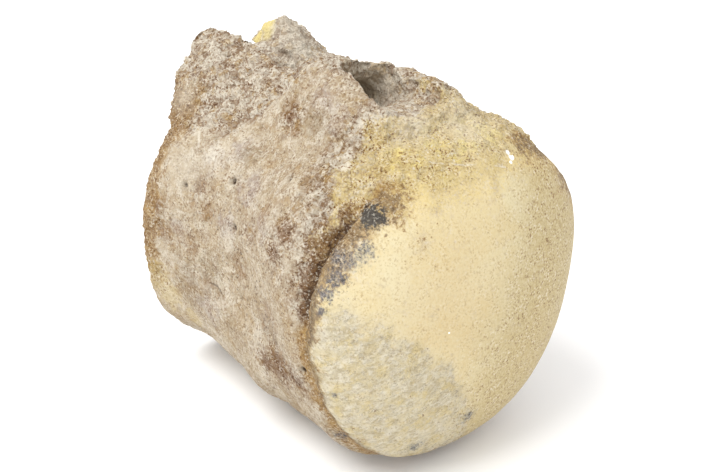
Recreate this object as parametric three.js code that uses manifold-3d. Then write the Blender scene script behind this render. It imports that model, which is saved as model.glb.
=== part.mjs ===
// A fossil mosasaur vertebra from the back or tail root: one solid bone, lying on its underside.
// The centrum is a spool with a hollow front face (cotyle) and a domed rear face (condyle).
// Of the neural arch only the broken roots stand on top: a wall on each side of the neural canal,
// and a short bridge of roof over the canal.
//
// Sizes are millimetres. While it is shaped, +X runs along the spine to the rear, +Z is up (dorsal),
// -Y is the animal's left side, and the origin is the centre of the condyle's edge. At the end the bone
// is set on the floor, and the origin goes to the centre of its bounding box's base.

import * as THREE from "three";
import { mergeVertices } from "three/addons/utils/BufferGeometryUtils.js";
import Module from "manifold-3d";

// Driving dimensions
const CENTRUM_LENGTH = 59; // from the cotyle's rim to the condyle's edge
const COTYLE = { halfWidth: 33, up: 32.8, down: 32.2, depth: 10, squareness: 2.15, egg: 0.02, skew: 0 };
const CONDYLE_RISE = 13.8; // how far the dome stands out behind its edge
const CONDYLE = { halfWidth: 30.8, up: 32.5, down: 31, squareness: 2.32, egg: 0.095, skew: 0.065 };
const CANAL = { halfWidth: 5.0, middle: 32.2, roof: 36.3, frontDrift: -2.6 };
const LEDGE = { rise: 2.1, from: 0.5, to: 1.1 }; // what is left of the floor beside the right front process
const ROOF = { front: -40, back: -27 }; // the stretch of canal that is still covered
const ARCH = { root: 17, frontLow: -58, frontLeft: -71, frontRight: -75.5, frontNotch: 5 };
const ARCH_BACK = { low: 5, high: -9, round: 7 }; // where the arch ends at root and top, and its rounding
const FACET = { drop: 7.5, inner: 2, outer: 8.5 }; // the sloping joint facet inside the right front process
const FLOOR_LEVEL = -30.6; // the plane that the bone rests on, measured from the condyle's centre

// Mesh fineness
const LATHE_SEGMENTS = 68;
const LATHE_STEPS = 54;
const FLOOR_REACH = 200; // half the side of the block that trims the underside

const wasm = await Module();
wasm.setup();

const { lerp, clamp, smoothstep } = THREE.MathUtils;

// A geometry as a manifold-3d solid, and back.
function toSolid(geometry) {
  const bare = geometry.clone();
  bare.deleteAttribute("normal");
  bare.deleteAttribute("uv");
  const merged = mergeVertices(bare, 1e-4);
  return new wasm.Manifold(
    new wasm.Mesh({
      numProp: 3,
      vertProperties: merged.attributes.position.array,
      triVerts: new Uint32Array(merged.index.array),
    }),
  );
}

function toGeometry(solid) {
  const mesh = solid.getMesh();
  return new THREE.BufferGeometry()
    .setAttribute("position", new THREE.BufferAttribute(mesh.vertProperties.slice(), 3))
    .setIndex(new THREE.BufferAttribute(mesh.triVerts.slice(), 1));
}

// The largest closed body of a solid, so that no loose scrap or sealed hollow is left.
function largestOf(solid) {
  return solid.decompose().sort((a, b) => b.volume() - a.volume())[0];
}

// Moves every vertex of a geometry by a function of its place.
function reshape(geometry, move) {
  const position = geometry.attributes.position;
  const point = new THREE.Vector3();
  for (let i = 0; i < position.count; i++) {
    point.fromBufferAttribute(position, i);
    move(point);
    position.setXYZ(i, point.x, point.y, point.z);
  }
  return geometry;
}

// Smooth repeatable noise from -1 to 1: random values on a grid, blended between its corners.
function cornerValue(i, j, k) {
  const mixed = Math.sin(i * 127.1 + j * 311.7 + k * 74.7) * 43758.5453;
  return 2 * (mixed - Math.floor(mixed)) - 1;
}

function noise(point, cell, shift = 0) {
  const [x, y, z] = [point.x / cell + shift, point.y / cell - shift, point.z / cell + 2 * shift];
  const [i, j, k] = [Math.floor(x), Math.floor(y), Math.floor(z)];
  const fade = (t) => t * t * (3 - 2 * t);
  const [u, v, w] = [fade(x - i), fade(y - j), fade(z - k)];
  const alongX = (b, c) => lerp(cornerValue(i, j + b, k + c), cornerValue(i + 1, j + b, k + c), u);
  return lerp(lerp(alongX(0, 0), alongX(1, 0), v), lerp(alongX(0, 1), alongX(1, 1), v), w);
}

// A smooth curve through [position, value] pairs, as a function of position.
function curveThrough(pairs) {
  const places = pairs.map(([place]) => place);
  return (place) => {
    const at = clamp(place, places[0], places.at(-1));
    const n = Math.max(1, places.findIndex((edge) => edge >= at));
    const [[x0, v0], [x1, v1]] = [pairs[n - 1], pairs[n]];
    const slope = (m) =>
      m <= 0 || m >= pairs.length - 1
        ? 0
        : (pairs[m + 1][1] - pairs[m - 1][1]) / (pairs[m + 1][0] - pairs[m - 1][0]);
    const span = x1 - x0;
    const t = (at - x0) / span;
    return (
      v0 * (1 + 2 * t) * (1 - t) ** 2 +
      slope(n - 1) * span * t * (1 - t) ** 2 +
      v1 * t * t * (3 - 2 * t) +
      slope(n) * span * t * t * (t - 1)
    );
  };
}

// How near a place is to a given one: 1 at it, fading to 0 over about the given width.
const nearPlace = (x, centre, width) => Math.exp(-(((x - centre) / width) ** 2));

// How full the centrum's side is along the axis, as a share of the straight line between its two end rims.
// Each rail runs from the cotyle's rim to the condyle's edge at one angle: -90 is the underside, 0 the side.
const RAIL_STATIONS = [-59, -52, -45, -35, -26, -15, -8, -3, 0];
const RAILS = {
  "-90": [1, 0.955, 0.92, 0.9, 0.92, 0.965, 0.975, 0.99, 1],
  "-45": [1.035, 0.995, 0.965, 0.98, 1.045, 1.02, 0.99, 0.985, 1],
  "-22": [1.035, 0.985, 0.945, 0.93, 0.955, 0.965, 0.967, 0.983, 1],
  0: [1, 0.955, 0.915, 0.875, 0.875, 0.92, 0.97, 0.985, 1],
  50: [1, 1.02, 0.995, 0.965, 0.97, 1.03, 1.035, 1.01, 1],
  90: [1, 0.97, 0.96, 0.96, 0.98, 1.03, 1.04, 1.02, 1],
};
const RAIL_ANGLES = Object.keys(RAILS)
  .map(Number)
  .sort((a, b) => a - b);
const railAt = (angle) => curveThrough(RAIL_STATIONS.map((x, n) => [x, RAILS[angle][n]]));
const rails = RAIL_ANGLES.map(railAt);

// The right side mirrors the left, so an angle past the top or the underside is folded back.
function foldAngle(angle) {
  if (angle > 90) return 180 - angle;
  return angle < -90 ? -180 - angle : angle;
}

const fullness = (x, angle) => curveThrough(RAIL_ANGLES.map((a, n) => [a, rails[n](x)]))(foldAngle(angle));

// The worn groove between the centrum's side and the condyle: its place along the axis at each angle.
// On top, behind the arch, it is nearly filled.
const GROOVE = { depth: 1.5, width: 2.2, fadeFrom: 50, fadeTo: 74, topShare: 0.1 };
const groovePlace = curveThrough([
  [-90, 2.5],
  [-36, 2.3],
  [4, -1.1],
  [18, -1.4],
  [48, 0.6],
  [90, 3],
]);
function grooveDepth(x, angle) {
  const folded = foldAngle(angle);
  const share = lerp(1, GROOVE.topShare, smoothstep(folded, GROOVE.fadeFrom, GROOVE.fadeTo));
  return GROOVE.depth * share * nearPlace(x, groovePlace(folded), GROOVE.width);
}

// The right shoulder above the groove kept more of its bone than the left one.
const RIGHT_SHOULDER = { rise: 1.6, angle: 112, spread: 22, place: -3, length: 8 };
const shoulderRise = (x, angle) =>
  RIGHT_SHOULDER.rise *
  nearPlace(angle, RIGHT_SHOULDER.angle, RIGHT_SHOULDER.spread) *
  nearPlace(x, RIGHT_SHOULDER.place, RIGHT_SHOULDER.length);

// The centrum's profile, from the hollow's centre out over the rim, along the side and up the dome.
// Each point is [radius as a share of the full one, place along the axis].
function centrumProfile() {
  const rim = -CENTRUM_LENGTH;
  const bowl = [0, 0.22, 0.44, 0.64, 0.8].map((r) => [r, rim + COTYLE.depth * (1 - (r / 0.93) ** 2)]);
  const lip = [
    [0.9, rim + 0.9],
    [0.955, rim + 0.1],
    [0.99, rim + 0.7],
    [1.0, rim + 2.4],
  ];
  const frontPlaces = [-53, -50, -46, -42, -38, -34, -30, -26, -22];
  const rearPlaces = [-18, -14, -11, -8.5, -6.2, -4.2, -2.6, -1.2, 0];
  const side = [...frontPlaces, ...rearPlaces].map((x) => [1, x]);
  const shares = [0.993, 0.975, 0.945, 0.9, 0.84, 0.76, 0.66, 0.54, 0.41, 0.27, 0.13, 0];
  const dome = shares.map((r) => [r, CONDYLE_RISE * (1 - r ** 2.3) ** (1 / 1.8)]);
  const points = [...bowl, ...lip, ...side, ...dome].map(([r, x]) => new THREE.Vector2(r, x));
  const outline = new THREE.SplineCurve(points).getPoints(LATHE_STEPS);
  return outline.map(({ x, y }) => new THREE.Vector2(Math.max(x, 0), y));
}

// Gives a turned shape, whose radii are shares of the full one, the centrum's section and surface.
function shapeAsCentrum(point) {
  const x = point.y; // a lathe turns about its own Y axis
  const share = Math.hypot(point.x, point.z);
  const turn = Math.atan2(point.z, point.x);
  const angle = THREE.MathUtils.radToDeg(turn);
  const rear = clamp((x + CENTRUM_LENGTH) / CENTRUM_LENGTH, 0, 1);
  const blend = (name) => lerp(COTYLE[name], CONDYLE[name], rear);
  const squareness = blend("squareness");
  const [c, s] = [Math.cos(turn), Math.sin(turn)];
  const round = (Math.abs(c) ** squareness + Math.abs(s) ** squareness) ** (-1 / squareness);
  const side = smoothstep(share, 0.8, 1);
  const full = share * round * lerp(1, fullness(x, angle), side);
  const halfHeight = s > 0 ? blend("up") : blend("down");
  const halfWidth = blend("halfWidth") * (1 + blend("egg") * full * s);
  point.set(x, -c * halfWidth * full, s * halfHeight * full);
  point.y += blend("skew") * point.z;
  const rough = lerp(0.9, 0.12, smoothstep(x, -5, 2)) * smoothstep(share, 0.3, 0.9);
  const worn = side * (shoulderRise(x, angle) - grooveDepth(x, angle));
  const lump = rough * (noise(point, 13) + 0.5 * noise(point, 6, 7)) + worn;
  point.y -= c * lump;
  point.z += s * lump;
}

const makeCentrum = () => reshape(new THREE.LatheGeometry(centrumProfile(), LATHE_SEGMENTS), shapeAsCentrum);

// What has to stay clear in the cotyle and ahead of it, a little deeper than the hollow itself.
function makeCotyleClearance() {
  const rim = -CENTRUM_LENGTH;
  const hollow = [0, 0.22, 0.44, 0.64, 0.8].map((r) => [r, rim + 0.4 + COTYLE.depth * (1 - (r / 0.93) ** 2)]);
  const profile = [...hollow, [0.925, rim + 0.6], [0.955, rim - 2], [0.955, rim - 25], [0, rim - 25]];
  const points = profile.map(([r, x]) => new THREE.Vector2(r, x));
  const lathe = new THREE.LatheGeometry(points.reverse(), LATHE_SEGMENTS);
  return reshape(lathe, shapeAsCentrum);
}

// Tops of the broken walls on each side of the canal, as heights along the axis.
const leftWallTop = curveThrough([
  [-70, 38.8],
  [-62, 39.6],
  [-54, 38.6],
  [-46, 36.4],
  [-41, 36.6],
  [-34, 40.4],
  [-24, 42.0],
  [-16, 40.8],
  [-10, 39.0],
  [-5, 36.4],
  [0, 33.4],
  [5, 31],
]);
const rightWallTop = curveThrough([
  [-75, 34.5],
  [-70, 38.4],
  [-65, 39.2],
  [-60, 35.2],
  [-52, 31.4],
  [-42, 32.8],
  [-31, 38.6],
  [-16, 40.2],
  [-6, 39.2],
  [-1, 36.2],
  [3, 32.5],
]);

// The arch's half-width at its root and at its top, and how far its flank bulges, along the axis.
const archRootWidth = curveThrough([
  [-69, 24],
  [-55, 25],
  [-36, 24],
  [-20, 25.5],
  [-8, 24.5],
  [3, 20],
]);
const archTopWidth = curveThrough([
  [-69, 11.5],
  [-55, 12],
  [-36, 10.5],
  [-20, 10],
  [-8, 10.5],
  [3, 13],
]);
const archBulge = curveThrough([
  [-69, 1.9],
  [-55, 1.7],
  [-36, 1.0],
  [-20, 1.05],
  [-8, 1.05],
  [3, 1.2],
]);

function makeArch() {
  const block = new THREE.BoxGeometry(1, 1, 1, 30, 12, 8);
  return reshape(block, (point) => {
    const [u, v, w] = [point.x + 0.5, 2 * point.y, point.z + 0.5];
    const right = smoothstep(v, -0.4, 0.4);
    const frontHigh = lerp(ARCH.frontLeft, ARCH.frontRight, right);
    const front = lerp(ARCH.frontLow, frontHigh, w ** lerp(1, 0.7, right));
    const rounding = ARCH_BACK.round * lerp(1, 0.3, right) * Math.abs(v) ** 3;
    const x = lerp(front, lerp(ARCH_BACK.low, ARCH_BACK.high, w ** 2) - rounding, u);
    const half = lerp(archRootWidth(x), archTopWidth(x), w ** archBulge(x));
    const across = v * half;
    const inside = 1 - smoothstep(across, FACET.inner, FACET.outer);
    const facet = FACET.drop * inside * (1 - smoothstep(x, -66, -58));
    const top = lerp(leftWallTop(x), rightWallTop(x) - facet, right) - 2.2 * Math.abs(v) ** 4;
    const notch = ARCH.frontNotch * nearPlace(across, CANAL.frontDrift, 4.5) * (1 - u) ** 3;
    point.set(x + notch, across, lerp(ARCH.root, top, w));
    const rough = smoothstep(w, 0.3, 0.9);
    point.z += 1.1 * rough * noise(point, 5, 3);
    point.y += 0.9 * rough * noise(point, 6, 11);
    point.x += 0.8 * rough * noise(point, 6, 19);
  });
}

// The canal: a tunnel under the roof, and an open trough before and behind it.
const canalFloor = curveThrough([
  [-80, 31.2],
  [-66, 31.2],
  [-58, 31],
  [-50, 28.6],
  [-32, 28.8],
  [-22, 32.2],
  [-14, 36],
  [-6, 36.4],
  [8, 36.4],
]);

function makeCanal() {
  const tube = new THREE.CylinderGeometry(1, 1, 1, 20, 44);
  return reshape(tube, (point) => {
    const x = lerp(-80, 8, point.y + 0.5);
    const [c, s] = [point.x, point.z];
    const covered = smoothstep(x, ROOF.front - 3, ROOF.front) * (1 - smoothstep(x, ROOF.back, ROOF.back + 3));
    const middle = Math.max(CANAL.middle, canalFloor(x) + 1.5);
    const up = lerp(30, CANAL.roof - middle, covered);
    const ahead = 1 - smoothstep(x, -64, -48);
    const wide = CANAL.halfWidth * (s > 0 ? lerp(1.3, 1, Math.max(covered, ahead)) : 1);
    const across = CANAL.frontDrift * ahead - wide * Math.sign(c) * Math.abs(c) ** 0.8;
    const floor = canalFloor(x) + LEDGE.rise * ahead * smoothstep(across, LEDGE.from, LEDGE.to);
    point.set(x, across, s > 0 ? middle + up * s : middle + (middle - floor) * s);
  });
}

function makeFloorTrim() {
  const block = new THREE.BoxGeometry(2 * FLOOR_REACH, 2 * FLOOR_REACH, FLOOR_REACH);
  return block.translate(0, 0, FLOOR_LEVEL - FLOOR_REACH / 2);
}

function makeVertebra() {
  const arch = toSolid(makeArch()).subtract(toSolid(makeCotyleClearance()));
  const bone = toSolid(makeCentrum())
    .add(arch)
    .subtract(toSolid(makeCanal()))
    .subtract(toSolid(makeFloorTrim()));
  const geometry = toGeometry(largestOf(bone));
  geometry.computeBoundingBox();
  const { min, max } = geometry.boundingBox;
  geometry.translate(-(min.x + max.x) / 2, -(min.y + max.y) / 2, -min.z);
  return geometry;
}

const fossilBone = new THREE.MeshStandardMaterial({ color: 0xc9b68c, roughness: 0.85, metalness: 0 });

const vertebra = new THREE.Mesh(makeVertebra(), fossilBone);
vertebra.name = "vertebra";

const model = new THREE.Group();
model.add(vertebra);

export default model;
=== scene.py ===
# %% [markdown]
# # A fossil vertebra, dressed on its solid
# The object is one vertebra of a mosasaur, a sea reptile, turned to stone. Its body (centrum) is a spool
# with a hollow front face and a domed rear face, the condyle, which sat in the hollow of the next bone. On
# top stand the broken roots of the neural arch. The solid already has the right size and form. This script
# adds what the eye reads as old bone: spongy broken faces, vessel holes, a flaking joint surface, and the
# stains of the sediment.

# %% Load the frame
import math

import bmesh
import bpy
import numpy as np
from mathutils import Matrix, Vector


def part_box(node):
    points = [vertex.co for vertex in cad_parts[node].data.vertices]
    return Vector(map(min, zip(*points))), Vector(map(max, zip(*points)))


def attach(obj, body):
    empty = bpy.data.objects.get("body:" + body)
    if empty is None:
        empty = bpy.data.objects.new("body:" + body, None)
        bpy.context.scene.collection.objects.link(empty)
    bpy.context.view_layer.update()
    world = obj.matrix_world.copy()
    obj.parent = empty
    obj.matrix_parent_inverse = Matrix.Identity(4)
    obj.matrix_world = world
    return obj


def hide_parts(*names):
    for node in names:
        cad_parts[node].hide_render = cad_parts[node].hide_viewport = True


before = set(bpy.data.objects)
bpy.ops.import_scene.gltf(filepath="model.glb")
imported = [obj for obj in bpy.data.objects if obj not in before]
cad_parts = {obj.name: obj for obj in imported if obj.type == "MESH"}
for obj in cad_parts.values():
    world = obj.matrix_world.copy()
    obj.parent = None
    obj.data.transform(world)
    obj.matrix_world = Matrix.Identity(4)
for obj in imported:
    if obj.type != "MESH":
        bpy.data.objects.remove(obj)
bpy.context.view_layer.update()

MM = 0.001
SOLID = "vertebra"

# %% [markdown]
# ## Landmarks
# Anatomists measure a vertebra from the centre of its condyle. All places below are millimetres from there:
# x to the rear, y to the animal's right, z up. Two sizes tie that point to the solid's box.

# %% Landmarks
CONDYLE_RISE = 13.8  # how far the dome stands out behind its edge
AXIS_HEIGHT = 30.6  # the bone's axis above the surface that it lies on

low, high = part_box(SOLID)
CENTRE = Vector((high.x - CONDYLE_RISE * MM, (low.y + high.y) / 2, low.z + AXIS_HEIGHT * MM))
print("condyle's centre in mm:", [round(v / MM, 1) for v in CENTRE])


def anatomical(points):
    """Points of the frame, in metres, as millimetres from the condyle's centre."""
    return (points - np.array(CENTRE)) / MM


# %% [markdown]
# ## Camera
# The photograph looks at the left side and the condyle from a little above. Its angle, distance and lens
# were worked out from the two round ends of the bone. The camera comes first, so that every render has the
# same frame.

# %% Camera
VIEW = {"azimuth": 54.6, "elevation": 26.57, "distance": 255.2 * MM, "lens": 63.64}
AIM = CENTRE + Vector((-27.9, 0, 3.3)) * MM


def direction(azimuth, elevation):
    """A unit vector from the object, azimuth counted from the left side towards the rear, in degrees."""
    a, e = math.radians(azimuth), math.radians(elevation)
    return Vector((math.sin(a) * math.cos(e), -math.cos(a) * math.cos(e), math.sin(e)))


def add_camera():
    camera = bpy.data.objects.new("camera", bpy.data.cameras.new("camera"))
    bpy.context.scene.collection.objects.link(camera)
    away = direction(VIEW["azimuth"], VIEW["elevation"])
    camera.location = AIM + away * VIEW["distance"]
    camera.rotation_euler = away.to_track_quat("Z", "Y").to_euler()
    camera.data.lens = VIEW["lens"]
    camera.data.sensor_width = 36
    camera.data.clip_start = 0.01
    bpy.context.scene.camera = camera
    return camera


camera = add_camera()
print("camera at mm:", [round(v / MM, 1) for v in camera.location])

# %% [markdown]
# ## Helpers for meshes
# Modifiers do much of the work. After each group of them the object gets the evaluated form as a plain
# mesh, so that the next step starts from real faces.

# %% Helpers for meshes
def to_mesh(thing, name):
    """The evaluated form of an object as a plain mesh."""
    graph = bpy.context.evaluated_depsgraph_get()
    form = thing.evaluated_get(graph)
    mesh = bpy.data.meshes.new_from_object(form, preserve_all_data_layers=True, depsgraph=graph)
    mesh.name = name
    return mesh


def bake_modifiers(thing):
    """Swaps an object's mesh for its evaluated one, and drops the modifiers."""
    mesh = to_mesh(thing, thing.data.name)
    thing.modifiers.clear()
    thing.data = mesh
    return thing


def coordinates(mesh):
    flat = np.empty(len(mesh.vertices) * 3, np.float32)
    mesh.vertices.foreach_get("co", flat)
    return flat.reshape(-1, 3).astype(float)


# %% [markdown]
# ## Zones
# A worn fossil shows several surfaces side by side: the smooth joint face, a chalky flaking patch on it,
# the rough lobe in front of it, the compact bone of the sides, and spongy bone wherever the shell has
# broken away. Each zone is a mask from 0 to 1 that follows from a point's place on the bone. The masks are
# kept on the mesh as attributes, so that the relief and the material agree to the millimetre.

# %% Zone helpers
WAVE_SHARES = (1.0, 0.6, 0.35, 0.2)  # sizes and heights of the waves in a wobble
WAVES_PER_SHARE = 5
USUAL_PEAK = 3.5  # what these waves reach together


def ramp(value, start, end):
    """0 at start, 1 at end, with soft shoulders."""
    t = np.clip((value - start) / (end - start), 0, 1)
    return t * t * (3 - 2 * t)


def spot(points, centre, radius):
    """1 at a place, fading to 0 over about the radius, which is one number or one for each axis."""
    apart = (points - np.array(centre)) / np.array(radius)
    return np.exp(-(apart**2).sum(1))


def spots(points, places):
    """The strongest of several spots, each (x, y, z, radius)."""
    return np.max([spot(points, place[:3], place[3]) for place in places], axis=0)


def wobble(points, size, seed):
    """Smooth uneven values of about -1 to 1, for irregular borders; size is a bump's, in mm."""
    random = np.random.default_rng(seed)
    total = np.zeros(len(points))
    for share in WAVE_SHARES:
        for _ in range(WAVES_PER_SHARE):
            way = random.normal(size=3)
            way *= math.pi / (size * share * np.linalg.norm(way))
            total += share * np.sin(points @ way + random.uniform(0, 2 * math.pi))
    return total / USUAL_PEAK


# %% [markdown]
# ## Where things are on this bone
# The lines give the borders that cross the whole bone, as a row of angles or places and a row of values
# there. The tables give single places, as x, y, z and radius in millimetres. Rows with a y of 26 or more
# lie on the right side and rows with a z of -28 or less underneath. The photograph hides both, so these
# rows are guesses of the same kind.

# %% Borders
GROOVE = ((-90, -36, 4, 18, 48, 90), (2.5, 2.3, -1.1, -1.4, 0.6, 3.0))  # angle round the axis, place along it
CREST = (  # the front edge of the lobe, in the same way
    (-90, 5, 20, 34, 43, 57, 66, 72, 90),
    (2.0, -1.5, -4.1, -5.7, -6.5, -11.5, -12.5, -13.0, -11.0),
)
SPONGY_EDGE = (  # place along the axis, and the height above which the shell has broken away
    (-60, -55, -50, -42, -37, -32, -27),
    (19, 21, 25, 26, 31, 37, 40.5),
)
CHALK_EDGE = (  # place across the condyle, and the upper end of the flaking patch
    (-31, -27.7, -21.2, -17.2, -12.5, -8.2, -2.6, 0, 2),
    (15, 14, 9, 5, 2, -3.5, -12, -22, -32),
)
ARCH_FOOT = (33.0, 35.0)  # heights between which the centrum gives way to the arch
BORDER_BUMP = 5.0  # how far apart the bumps of a border are
FLAKE_BUMP = 4.0

# %% Places
VESSEL_HOLES = (
    (-33.3, -24.7, 20.0, 0.65),
    (-16.4, -22.5, 26.3, 0.55),
    (-29.3, -27.0, 12.3, 0.55),
    (-2.1, -29.7, -4.7, 0.55),
    (-46.1, -28.4, 15.4, 0.45),
    (-27.0, -27.6, -2.0, 0.45),
    (-33.0, 27.3, 12.0, 0.8),
    (-22.0, 26.4, 3.0, 0.6),
    (-40.0, 28.4, -6.0, 0.6),
    (-30.0, -6.5, -28.6, 1.1),
    (-31.0, 6.0, -28.6, 1.0),
)
BROWN_PATCHES = (
    (-38.4, -27.7, 12.5, 2.4),
    (-43.1, -29.5, 3.4, 2.8),
    (-41.8, -26.9, 16.6, 2.2),
    (-28.4, -14.3, 33.6, 3.6),
    (-25.4, -15.4, 32.0, 3.4),
    (-10.1, -28.0, 19.5, 3.2),
    (-12.2, -29.1, 15.3, 3.4),
    (-23.0, -27.2, 13.4, 3.4),
    (-18.0, -26.8, 19.3, 2.6),
    (-27.0, -27.4, 4.0, 3.0),
    (-53.7, -31.3, 10.0, 3.6),
    (-52.3, -31.4, 3.8, 3.2),
    (-56.4, -32.5, -6.9, 3.6),
    (-11.3, -28.7, -8.5, 4.4),
    (-6.5, -29.2, -8.3, 3.4),
    (-16.7, -28.7, -10.2, 3.2),
    (-20.0, 27.0, 8.0, 6.0),
    (-44.0, 29.0, 4.0, 5.0),
    (-12.0, 27.0, -14.0, 5.0),
)
LILAC_PATCHES = (
    (-32.2, -27.3, 11.4, 3.4),
    (-46.1, -30.0, 5.9, 3.4),
    (-40.0, -24.5, 21.9, 3.6),
    (-35.6, -21.4, 24.8, 3.6),
    (-27.0, -24.5, 20.4, 4.0),
    (-21.4, -12.3, 37.3, 3.6),
    (-16.5, -13.2, 35.4, 4.0),
    (-17.0, -26.0, 17.0, 4.0),
    (-40.0, -29.2, -7.0, 6.0),
    (-14.0, -28.0, -1.0, 4.5),
    (-30.0, 27.0, 16.0, 7.0),
    (-46.0, 29.5, -8.0, 6.0),
)
ROUGH_PATCHES = (
    (-11.3, -28.7, -8.5, 4.6),
    (-5.5, -29.2, -8.5, 3.4),
    (-16.7, -28.7, -10.2, 3.0),
    (-27.0, -15.0, 32.8, 3.6),
    (-54.0, -31.6, 5.0, 4.0),
    (-56.4, -32.5, -6.9, 4.2),
    (-23.0, -27.2, 13.4, 2.6),
    (-12.2, -29.1, 15.3, 4.2),
    (-9.0, -26.5, 20.0, 4.2),
    (-42.5, -27.5, 15.0, 2.4),
    (-14.0, 27.5, 12.0, 5.0),
    (-48.0, 30.0, -6.0, 5.0),
)
RUST_PLACES = (
    (-11.6, -28.4, -9.6, 4.4),
    (-5.5, -29.2, -9.0, 3.6),
    (-16.7, -28.7, -11.0, 3.0),
    (-9.6, -27.6, 19.6, 2.2),
    (-12.4, -29.0, 14.6, 2.6),
    (-27.4, -14.6, 33.0, 2.4),
    (-53.7, -31.3, 9.0, 2.0),
    (-56.4, -32.5, -6.9, 2.2),
    (-60.0, -22.0, 24.0, 2.0),
)
PALE_PATCHES = (
    (-53.0, -31.0, -10.7, 4.0),
    (-50.0, -30.0, -13.0, 4.0),
    (-44.0, -29.5, -15.5, 3.6),
    (-55.5, -32.0, -2.5, 3.0),
    (-40.0, -24.5, 21.9, 4.0),
    (-34.0, -24.0, 21.0, 3.6),
    (-31.0, -27.0, 9.0, 3.0),
    (-20.0, -28.6, -6.0, 3.0),
    (-10.6, -12.0, 35.8, 2.6),
    (-40.0, 27.5, 12.0, 7.0),
    (-16.0, 28.0, -4.0, 6.0),
)
# painted light: places lifted against their own shade, such as the right process and the recess in the canal
PAINTED_LIGHT_PLACES = (
    (-58.5, 7.6, 34.3, 7.0),
    (-64.0, 9.0, 39.0, 6.0),
    (-29.6, 4.3, 34.4, 7.0),
    (-29.6, 4.3, 34.4, 4.0),
    (-60.1, -20.2, 28.4, 3.4),
    (-5.6, -2.5, 35.2, 4.0),
    (-3.0, 7.0, 34.0, 6.0),
    (-52.0, -18.0, 38.0, 4.0),
    (-47.0, -27.0, 18.0, 5.0),
)
YELLOWED_PLACES = (
    (-55.0, -31.5, -8.0, 5.0),
    (-52.0, -30.8, -12.0, 5.0),
    (-46.0, -29.8, -15.5, 4.0),
)
DUN_PATCHES = (
    (-7.7, -15.2, 30.9, 7.5),
    (-9.5, -13.5, 33.0, 6.0),
    (-6.0, -19.6, 27.9, 5.5),
    (-5.1, -23.4, 24.4, 3.5),
    (-28.4, -13.9, 34.5, 3.6),
    (-37.5, -28.0, -2.1, 6.0),
    (-44.6, -29.4, -6.0, 6.0),
    (-31.0, -28.2, -8.0, 4.0),
    (-24.0, -14.0, 34.5, 4.5),
    (-19.0, -14.0, 34.0, 4.0),
    (-33.0, -20.5, 25.0, 3.0),
    (-7.0, -18.0, 28.5, 4.5),
    (-10.0, -22.0, 25.5, 3.5),
    (-14.0, -28.5, -3.0, 4.5),
    (-50.0, 31.0, 8.0, 6.0),
    (-24.0, 27.0, 14.0, 6.0),
)
PALE_SCRATCHES = (  # both ends, and the radius
    ((-49.0, -22.8, 25.5), (-45.9, -24.7, 22.8), 0.4),
    ((-1.3, -9.0, 31.6), (3.9, -2.0, 30.9), 0.25),
    ((3.9, -2.0, 30.9), (6.3, 8.8, 28.5), 0.25),
)
DARK_SCRATCHES = (
    ((-37.8, -28.1, -3.1), (-35.6, -27.9, -3.0), 0.3),
    ((-35.6, -27.9, -3.0), (-33.4, -27.7, -4.3), 0.3),
)
GREY_STREAK = (
    (5.9, -21.7, 20.7, 2.3),
    (4.9, -24.0, 18.8, 2.6),
    (2.8, -25.4, 19.3, 2.0),
    (4.2, -26.3, 15.8, 2.5),
    (3.2, -27.8, 12.8, 2.0),
    (3.2, -29.0, 10.0, 1.3),
    (5.0, -27.9, -6.7, 1.0),
    (9.0, -12.0, -22.5, 2.0),
    (1.8, -24.5, -19.5, 2.2),
    (11.5, -1.5, -18.5, 2.0),
)
WHITE_FLECKS = (
    (4.6, 11.0, 30.3, 0.5),
    (5.2, 11.2, 29.3, 0.7),
    (13.3, -8.7, 3.5, 0.25),
    (5.7, 10.6, 28.7, 0.4),
)
JOINT_FACET = (
    (-68.0, 3.0, 36.5, 3.6),
    (-72.5, 3.5, 33.5, 3.6),
    (-65.0, 1.5, 36.5, 2.6),
    (-70.0, 6.0, 37.0, 2.6),
)
THIN_LEDGE = ((-61.5, 2.2, 33.0, 3.0), (-66.0, 1.8, 33.0, 3.0))
DARK_SPOTS = ((3.9, -18.6, 25.2, 2.9), (2.6, -18.8, 25.9, 2.2))
PALE_ARC = (
    (-9.4, -9.7, 38.1, 1.5),
    (-10.9, -11.4, 36.3, 1.7),
    (-10.4, -13.0, 34.2, 1.8),
    (-9.2, -14.8, 32.2, 1.7),
    (-7.5, -16.4, 30.3, 1.5),
)
POROUS_PLACES = (
    (-17.0, -27.0, 4.0, 11.0),
    (-30.0, -26.0, 8.0, 8.0),
    (-18.0, 27.0, 0.0, 14.0),
)
SULPHUR_PLACES = ((-13.5, 5.6, 39.0, 1.7),)
JOINT_MIDDLE = ((12.0, -8.0, 8.0), (9.0, 13.0, 15.0))  # centre of the tan area, and its radius on each axis
PLAIN_ZONES = {
    "lilac": LILAC_PATCHES,
    "grey": GREY_STREAK,
    "dark": DARK_SPOTS,
    "hole": VESSEL_HOLES,
    "arc": PALE_ARC,
    "pale": PALE_PATCHES,
    "painted_light": PAINTED_LIGHT_PLACES,
    "yellowed": YELLOWED_PLACES,
    "dun": DUN_PATCHES,
    "facet": JOINT_FACET,
    "ledge": THIN_LEDGE,
}

# %% [markdown]
# ## Masks
# Three functions work the zones out: the condyle's skin, the groove with the lobe and band in front of it,
# and the front with the broken arch. In each of them a ramp goes from 0 at its first number to 1 at its
# second.

# %% Masks
def arc(value, middle, width):
    """1 at the middle, fading to 0 on both sides over about the width."""
    return np.exp(-(((value - middle) / width) ** 2))


def turn_of(points):
    """Degrees round the axis: 0 at the side, 90 on top, -90 underneath, alike on both sides."""
    x, y, z = points.T
    return np.degrees(np.arctan2(z, np.abs(y)))


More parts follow.
